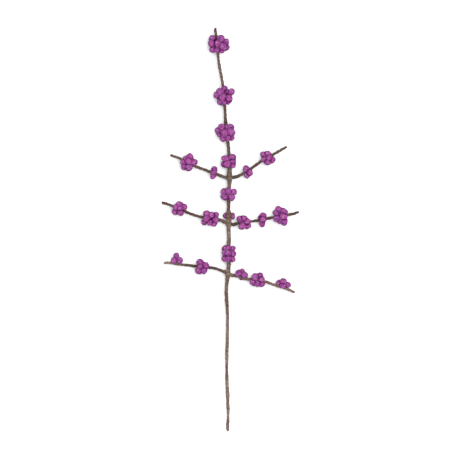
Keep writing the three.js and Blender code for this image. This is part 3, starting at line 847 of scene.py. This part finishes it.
def felt_marks(piece, centres, radii, core_matrix, draws):
    """Marks each point with how much painted crease shade it gets near the next berry or the core, its
    berry's tone, and its height on its berry, which the material turns into painted shade on the berry's
    sides.
    The points where no fibres grow are given back."""
    spots = coordinates(piece.data)
    distances = np.linalg.norm(spots[:, None] - centres, axis=2)
    gaps = np.abs(distances - radii)
    own = gaps.argmin(axis=1)
    next_gap = np.sort(gaps, axis=1)[:, 1]
    near_next = 1 - next_gap / PAINTED_CREASE_REACH
    to_core = np.array(core_matrix.inverted())
    core_level = np.linalg.norm(spots @ to_core[:3, :3].T + to_core[:3, 3], axis=1)
    near_core = 1 - (core_level - CORE_PAINTED_CREASE_START) / CORE_PAINTED_CREASE_WIDTH
    tones = np.array([draws.next() for _ in radii])
    # Painted shade: darkest where the next berry or the core is near
    mark(piece.data, "painted_crease_shade", np.clip(np.maximum(near_next, near_core), 0, 1))
    mark(piece.data, "tone", tones[own])
    # The height on its berry, which the material turns into painted shade on the berry's sides
    mark(piece.data, "top", (spots[:, 2] - centres[own, 2]) / radii[own])
    buried = (distances < radii * BURIED_SHARE).any(axis=1)
    return buried | (core_level < CORE_BARE) | (spots[:, 2] < TABLE_TOUCH)


def felt_together(piece):
    """Felts the berries and the core of a bunch into one skin, softer where they meet."""
    skin = piece.modifiers.new("felting", "REMESH")
    skin.mode = "VOXEL"
    skin.voxel_size = FELT_GRAIN
    bpy.ops.object.modifier_apply(modifier="felting")
    softening = piece.modifiers.new("softening", "SMOOTH")
    softening.factor = FELT_SOFTENING
    softening.iterations = FELT_ROUNDS
    bpy.ops.object.modifier_apply(modifier="softening")


def berry_bunch(node, balls, material, sizes, draws):
    """One bunch: felt balls round a felt core, pressed on the table, with loose fibres."""
    bunch = BUNCHES[node]
    centre, _, _, _ = bunch_frame(bunch, sizes)
    places = berry_places(bunch, sizes, draws)
    core, core_matrix = bunch_core(bunch, sizes)
    felt_draws = Draws(SEED + len(node))
    berries = []
    for i, (offset, radius) in enumerate(places):
        ball = balls[i % BALL_SHAPES]
        berry = ball.copy()
        berry.data = ball.data.copy()
        bpy.context.collection.objects.link(berry)
        turn = Euler([2 * math.pi * draws.next() for _ in range(3)])
        stretch = Vector([radius * (1 + felt_draws.spread(BALL_STRETCH)) for _ in range(3)])
        berry.matrix_world = Matrix.LocRotScale(centre + offset, turn, stretch)
        berries.append(berry)
    bpy.context.view_layer.update()
    piece = join_pieces(berries, core)
    felt_together(piece)
    dent(piece, f"{node}_dents", sizes.berry_radius, sizes.berry_dents)
    tuft_size = sizes.berry_radius * TUFT_SIZE_SHARE
    dent(piece, f"{node}_tufts", tuft_size, sizes.berry_dents * TUFT_DEPTH_SHARE)
    press_flat(piece)
    centres = np.array([centre + offset for offset, _ in places])
    radii = np.array([radius for _, radius in places])
    bare = felt_marks(piece, centres, radii, core_matrix, felt_draws)
    fibres = loose_fibres(piece, sizes.berry_fibres * len(places), sizes, felt_draws, bare)
    for name, value in BERRY_FIBRE_MARKS.items():
        mark(fibres.data, name, value)
    finish_piece(join_pieces([fibres], piece), node, material)


# Materials


def new_material(name):
    """A new material, its node tree and its shader."""
    material = bpy.data.materials.new(name)
    material.use_nodes = True
    tree = material.node_tree
    return material, tree, tree.nodes["Principled BSDF"]


def add_node(tree, kind, **values):
    """Adds a node with its settings, given by property name."""
    node = tree.nodes.new(kind)
    for name, value in values.items():
        setattr(node, name, value)
    return node


def noise_node(tree, vector, scale, detail, distortion=0):
    """Soft noise at a scale that is a socket or a plain number."""
    node = add_node(tree, "ShaderNodeTexNoise")
    tree.links.new(vector, node.inputs["Vector"])
    if isinstance(scale, (int, float)):
        node.inputs["Scale"].default_value = scale
    else:
        tree.links.new(scale, node.inputs["Scale"])
    node.inputs["Detail"].default_value = detail
    node.inputs["Distortion"].default_value = distortion
    return node.outputs["Fac"]


def maths(tree, operation, *terms):
    """A Math node of sockets and plain numbers."""
    node = add_node(tree, "ShaderNodeMath", operation=operation)
    for socket, term in zip(node.inputs, terms):
        if isinstance(term, (int, float)):
            socket.default_value = term
        else:
            tree.links.new(term, socket)
    return node.outputs["Value"]


def mapped(tree, value, low, high, to_low=0, to_high=1):
    """A value carried from one range to another, and held at its ends."""
    node = add_node(tree, "ShaderNodeMapRange", interpolation_type="SMOOTHSTEP")
    tree.links.new(value, node.inputs["Value"])
    for name, number in (("From Min", low), ("From Max", high), ("To Min", to_low), ("To Max", to_high)):
        node.inputs[name].default_value = number
    return node.outputs["Result"]


def blended(tree, share, first, second):
    """A mix of two colours, each a socket or a plain colour."""
    node = add_node(tree, "ShaderNodeMix", data_type="RGBA")
    tree.links.new(share, node.inputs["Factor"])
    inputs = [socket for socket in node.inputs if socket.type == "RGBA"]
    outputs = [socket for socket in node.outputs if socket.type == "RGBA"]
    for socket, colour in zip(inputs, (first, second)):
        if isinstance(colour, bpy.types.NodeSocket):
            tree.links.new(colour, socket)
        else:
            socket.default_value = (*colour, 1)
    return outputs[0]


def attribute(tree, name):
    """What the points of a piece are marked with."""
    return add_node(tree, "ShaderNodeAttribute", attribute_name=name).outputs["Fac"]


def wool_fibre_group():
    """Tangled wool: thin fibres that cross each other, and the soft lumps under them."""
    group = bpy.data.node_groups.new("wool_fibres", "ShaderNodeTree")
    for name, kind in (("Vector", "NodeSocketVector"), ("Scale", "NodeSocketFloat")):
        group.interface.new_socket(name, in_out="INPUT", socket_type=kind)
    for name in ("Fibres", "Lumps", "Height"):
        group.interface.new_socket(name, in_out="OUTPUT", socket_type="NodeSocketFloat")
    given = add_node(group, "NodeGroupInput").outputs
    result = add_node(group, "NodeGroupOutput").inputs
    webs = []
    for finer in WEB_SCALES:
        scale = maths(group, "MULTIPLY", given["Scale"], finer)
        web = noise_node(group, given["Vector"], scale, WEB_DETAIL, WEB_DISTORTION)
        from_middle = maths(group, "ABSOLUTE", maths(group, "SUBTRACT", web, NOISE_MIDDLE))
        webs.append(mapped(group, from_middle, WEB_HALF_WIDTH, 0))
    fibres = maths(group, "MAXIMUM", webs[0], maths(group, "MAXIMUM", webs[1], webs[2]))
    coarse = maths(group, "MULTIPLY", given["Scale"], LUMP_SCALE)
    lumps = noise_node(group, given["Vector"], coarse, LUMP_DETAIL)
    height = maths(group, "ADD", maths(group, "MULTIPLY", fibres, WEB_HEIGHT), lumps)
    group.links.new(fibres, result["Fibres"])
    group.links.new(lumps, result["Lumps"])
    group.links.new(height, result["Height"])
    return group


def shared_wool_group():
    """The group of tangled wool, built the first time that it is asked for."""
    return bpy.data.node_groups.get("wool_fibres") or wool_fibre_group()


def wool_fibres(tree, vector, scale):
    """Places the shared group of tangled wool in a material, at a scale of its own."""
    node = add_node(tree, "ShaderNodeGroup", node_tree=shared_wool_group())
    tree.links.new(vector, node.inputs["Vector"])
    node.inputs["Scale"].default_value = scale
    return node.outputs


def wool_surface(tree, shader, colour, height):
    """Gives a shader the matte surface of wool, with its colour and its relief."""
    tree.links.new(colour, shader.inputs["Base Color"])
    shader.inputs["Roughness"].default_value = WOOL_ROUGHNESS
    shader.inputs["Specular IOR Level"].default_value = WOOL_SHINE
    bump = add_node(tree, "ShaderNodeBump")
    bump.inputs["Strength"].default_value = WOOL_RELIEF
    bump.inputs["Distance"].default_value = WOOL_RELIEF_HEIGHT
    tree.links.new(height, bump.inputs["Height"])
    tree.links.new(bump.outputs["Normal"], shader.inputs["Normal"])


def berry_felt(colours):
    """Purple felt mixed from two dyes, with dark mottles of its own, painted shade in the creases between
    the berries and on their sides, and a pale bloom of fibres.
    """
    material, tree, shader = new_material("berry_felt")
    place = add_node(tree, "ShaderNodeTexCoord").outputs["Object"]
    wool = wool_fibres(tree, place, BERRY_WEB_SCALE)
    dye = mapped(tree, noise_node(tree, place, *DYE_NOISE), *DYE_RANGE)
    tufts = mapped(tree, noise_node(tree, place, *TUFT_NOISE), *TUFT_RANGE)
    pale = mapped(tree, noise_node(tree, place, *PALE_NOISE), *PALE_RANGE)
    tone = maths(tree, "SUBTRACT", attribute(tree, "tone"), TONE_MIDDLE)
    mix = maths(tree, "MULTIPLY_ADD", tone, TONE_WEIGHT, dye)
    colour = blended(tree, mapped(tree, mix, 0, 1), colours.berry_magenta, colours.berry_violet)
    bloom = maths(tree, "MULTIPLY", wool["Fibres"], mapped(tree, wool["Lumps"], *BLOOM_RANGE))
    colour = blended(tree, maths(tree, "MAXIMUM", bloom, pale), colour, colours.berry_bloom)
    # Painted shade in the creases and over the core, varied by the depth noise, and on each berry's sides
    # below its top; the tufts are the felt's own dark mottles
    depth = mapped(tree, noise_node(tree, place, *DEPTH_NOISE), *DEPTH_RANGE)
    painted_crease_shade = maths(tree, "MULTIPLY", mapped(tree, attribute(tree, "painted_crease_shade"), *PAINTED_CREASE_SHADE_RANGE), depth)
    painted_flank_shade = mapped(tree, attribute(tree, "top"), *PAINTED_FLANK_SHADE_RANGE)
    shade = maths(tree, "MAXIMUM", maths(tree, "MAXIMUM", painted_crease_shade, tufts), painted_flank_shade)
    colour = blended(tree, shade, colour, colours.berry_dark_and_painted_shade)
    wool_surface(tree, shader, colour, wool["Height"])
    return material


def strand_noise(tree, turns, around, across, along):
    """Streaks of wool that follow the winding: how many across one turn, and how many along it."""
    place = add_node(tree, "ShaderNodeCombineXYZ")
    tree.links.new(maths(tree, "MULTIPLY", turns, across), place.inputs["X"])
    tree.links.new(maths(tree, "MULTIPLY", around, along), place.inputs["Y"])
    return noise_node(tree, place.outputs["Vector"], *STRAND_NOISE)


def stem_wool(sizes, colours):
    """Brown wool wound round the stem: each turn its own shade, with painted shade in the grooves between
    the turns.
    """
    material, tree, shader = new_material("wrapped_stem")
    wrap = add_node(tree, "ShaderNodeUVMap", uv_map="wrap").outputs["UV"]
    split = add_node(tree, "ShaderNodeSeparateXYZ")
    tree.links.new(wrap, split.inputs["Vector"])
    along, around = split.outputs["X"], split.outputs["Y"]
    turns = maths(tree, "ADD", maths(tree, "DIVIDE", along, sizes.wrap_pitch), around)
    groove = maths(tree, "ABSOLUTE", maths(tree, "SINE", maths(tree, "MULTIPLY", turns, math.pi)))
    strands = strand_noise(tree, turns, around, *STRANDS)
    hairs = strand_noise(tree, turns, around, *HAIRS)
    combed = mapped(tree, maths(tree, "MULTIPLY_ADD", hairs, HAIR_WEIGHT, strands), *COMBED_RANGE)
    place = add_node(tree, "ShaderNodeTexCoord").outputs["Object"]
    wool = wool_fibres(tree, place, STEM_WEB_SCALE)
    warm = mapped(tree, noise_node(tree, place, *WARM_NOISE), *WARM_RANGE)
    patch = mapped(tree, noise_node(tree, place, *PATCH_NOISE), *PATCH_RANGE)
    colour = blended(tree, warm, colours.wool_grey, colours.wool_red)
    patches = maths(tree, "MULTIPLY", patch, PATCH_WEIGHT)
    shade = maths(tree, "MULTIPLY_ADD", combed, COMBED_WEIGHT, patches)
    colour = blended(tree, mapped(tree, shade, *SHADE_RANGE), colour, colours.wool_dark_and_painted_shade)
    # Painted shade in the grooves between the turns of wool
    colour = blended(tree, mapped(tree, groove, *PAINTED_GROOVE_SHADE_RANGE), colour, colours.wool_dark_and_painted_shade)
    pale_webs = maths(tree, "MULTIPLY", wool["Fibres"], PALE_WEB_WEIGHT)
    colour = blended(tree, pale_webs, colour, colours.wool_grey)
    darkness = attribute(tree, "darkness")
    paleness = maths(tree, "MULTIPLY", darkness, -1)
    colour = blended(tree, paleness, colour, colours.wool_grey)
    colour = blended(tree, darkness, colour, colours.wool_dark_and_painted_shade)
    height = maths(tree, "MULTIPLY_ADD", combed, COMBED_RELIEF, wool["Height"])
    wool_surface(tree, shader, colour, height)
    return material


def table_top(stage):
    """A plain pale table with a barely seen grain."""
    material, tree, shader = new_material("pale_table")
    place = add_node(tree, "ShaderNodeTexCoord").outputs["Object"]
    grain = mapped(tree, noise_node(tree, place, *GRAIN_NOISE), *GRAIN_RANGE)
    colour = blended(tree, grain, stage.table_colour, TABLE_GRAIN)
    tree.links.new(colour, shader.inputs["Base Color"])
    shader.inputs["Roughness"].default_value = TABLE_ROUGHNESS
    shader.inputs["Specular IOR Level"].default_value = TABLE_SHINE
    return material


def soft_sky(stage):
    """Light from all round that is strongest overhead."""
    world = bpy.data.worlds.new("soft_sky")
    world.use_nodes = True
    tree = world.node_tree
    way = add_node(tree, "ShaderNodeTexCoord").outputs["Generated"]
    split = add_node(tree, "ShaderNodeSeparateXYZ")
    tree.links.new(way, split.inputs["Vector"])
    strength = mapped(tree, split.outputs["Z"], 0, 1, stage.horizon_light, stage.sky_light)
    sky = tree.nodes["Background"]
    sky.inputs["Color"].default_value = (1, 1, 1, 1)
    tree.links.new(strength, sky.inputs["Strength"])
    return world


# Operators


class SPRIG_OT_wrapped_stem(bpy.types.Operator):
    """Winds the stem and its side twigs in brown wool"""

    bl_idname = "sprig.wrapped_stem"
    bl_label = "Wrapped stem"

    def execute(self, context):
        sizes = context.scene.sprig_sizes
        tubes = []
        for name in ("stem", *TWIGS):
            tube, rings = wrapped_tube(name)
            wind_wool(tube, rings, LINE_DARKNESS[name], sizes)
            tubes.append(tube)
        piece = join_pieces(tubes[1:], tubes[0])
        press_flat(piece)
        on_table = coordinates(piece.data)[:, 2] < TABLE_TOUCH
        fibres = loose_fibres(piece, sizes.stem_fibres, sizes, Draws(SEED), on_table)
        mark(fibres.data, "darkness", STEM_FIBRE_DARKNESS)
        fibres.data.uv_layers.new(name="wrap")
        material = stem_wool(sizes, context.scene.sprig_colours)
        finish_piece(join_pieces([fibres], piece), "stem", material)
        return {"FINISHED"}


class SPRIG_OT_berry_bunches(bpy.types.Operator):
    """Packs felt berries into bunches along the stem and the twigs"""

    bl_idname = "sprig.berry_bunches"
    bl_label = "Berry bunches"

    def execute(self, context):
        sizes = context.scene.sprig_sizes
        material = berry_felt(context.scene.sprig_colours)
        balls = [felt_ball(seed) for seed in range(BALL_SHAPES)]
        draws = Draws(SEED)
        for node in BUNCHES:
            berry_bunch(node, balls, material, sizes, draws)
        remove_pieces(balls)
        return {"FINISHED"}


class SPRIG_OT_stage(bpy.types.Operator):
    """Lays the pale table, the soft light and the camera that looks straight down"""

    bl_idname = "sprig.stage"
    bl_label = "Stage"

    def execute(self, context):
        scene = context.scene
        stage = scene.sprig_stage
        deselect_all()
        bpy.ops.mesh.primitive_plane_add(size=TABLE_SIZE)
        table = context.object
        table.name = "table"
        table.data.materials.append(table_top(stage))

        scene.world = soft_sky(stage)
        bpy.ops.object.light_add(type="AREA", location=KEY_PLACE)
        key = context.object
        key.name = "key_light"
        key.data.shape = "DISK"
        key.data.size = KEY_SIZE
        key.data.energy = stage.key_light
        key.rotation_euler = (-key.location).to_track_quat("-Z", "Y").to_euler()

        height = FRAME_HEIGHT + FRAME_WIDTH * LENS / SENSOR
        bpy.ops.object.camera_add(location=(*FRAME_CENTRE, height), rotation=(0, 0, 0))
        camera = context.object
        camera.data.lens = LENS
        camera.data.sensor_width = SENSOR
        scene.camera = camera
        scene.view_settings.view_transform = "Standard"
        return {"FINISHED"}


class SPRIG_PT_panel(bpy.types.Panel):
    """Lists the steps and the settings of the sprig"""

    bl_idname = "SPRIG_PT_panel"
    bl_label = "Beautyberry sprig"
    bl_space_type = "VIEW_3D"
    bl_region_type = "UI"
    bl_category = "Sprig"

    def draw(self, context):
        for operator in (SPRIG_OT_wrapped_stem, SPRIG_OT_berry_bunches, SPRIG_OT_stage):
            self.layout.operator(operator.bl_idname)
        scene = context.scene
        for settings in (scene.sprig_sizes, scene.sprig_colours, scene.sprig_stage):
            box = self.layout.box()
            for name in settings.__annotations__:
                box.prop(settings, name)


CLASSES = (
    SprigSizes, SprigColours, SprigStage,
    SPRIG_OT_wrapped_stem, SPRIG_OT_berry_bunches, SPRIG_OT_stage, SPRIG_PT_panel,
)


def register():
    for cls in CLASSES:
        bpy.utils.register_class(cls)
    bpy.types.Scene.sprig_sizes = bpy.props.PointerProperty(type=SprigSizes)
    bpy.types.Scene.sprig_colours = bpy.props.PointerProperty(type=SprigColours)
    bpy.types.Scene.sprig_stage = bpy.props.PointerProperty(type=SprigStage)


def unregister():
    del bpy.types.Scene.sprig_stage
    del bpy.types.Scene.sprig_colours
    del bpy.types.Scene.sprig_sizes
    for cls in reversed(CLASSES):
        bpy.utils.unregister_class(cls)


def main():
    register()
    bpy.ops.sprig.wrapped_stem()
    bpy.ops.sprig.berry_bunches()
    bpy.ops.sprig.stage()


if __name__ == "__main__":
    main()
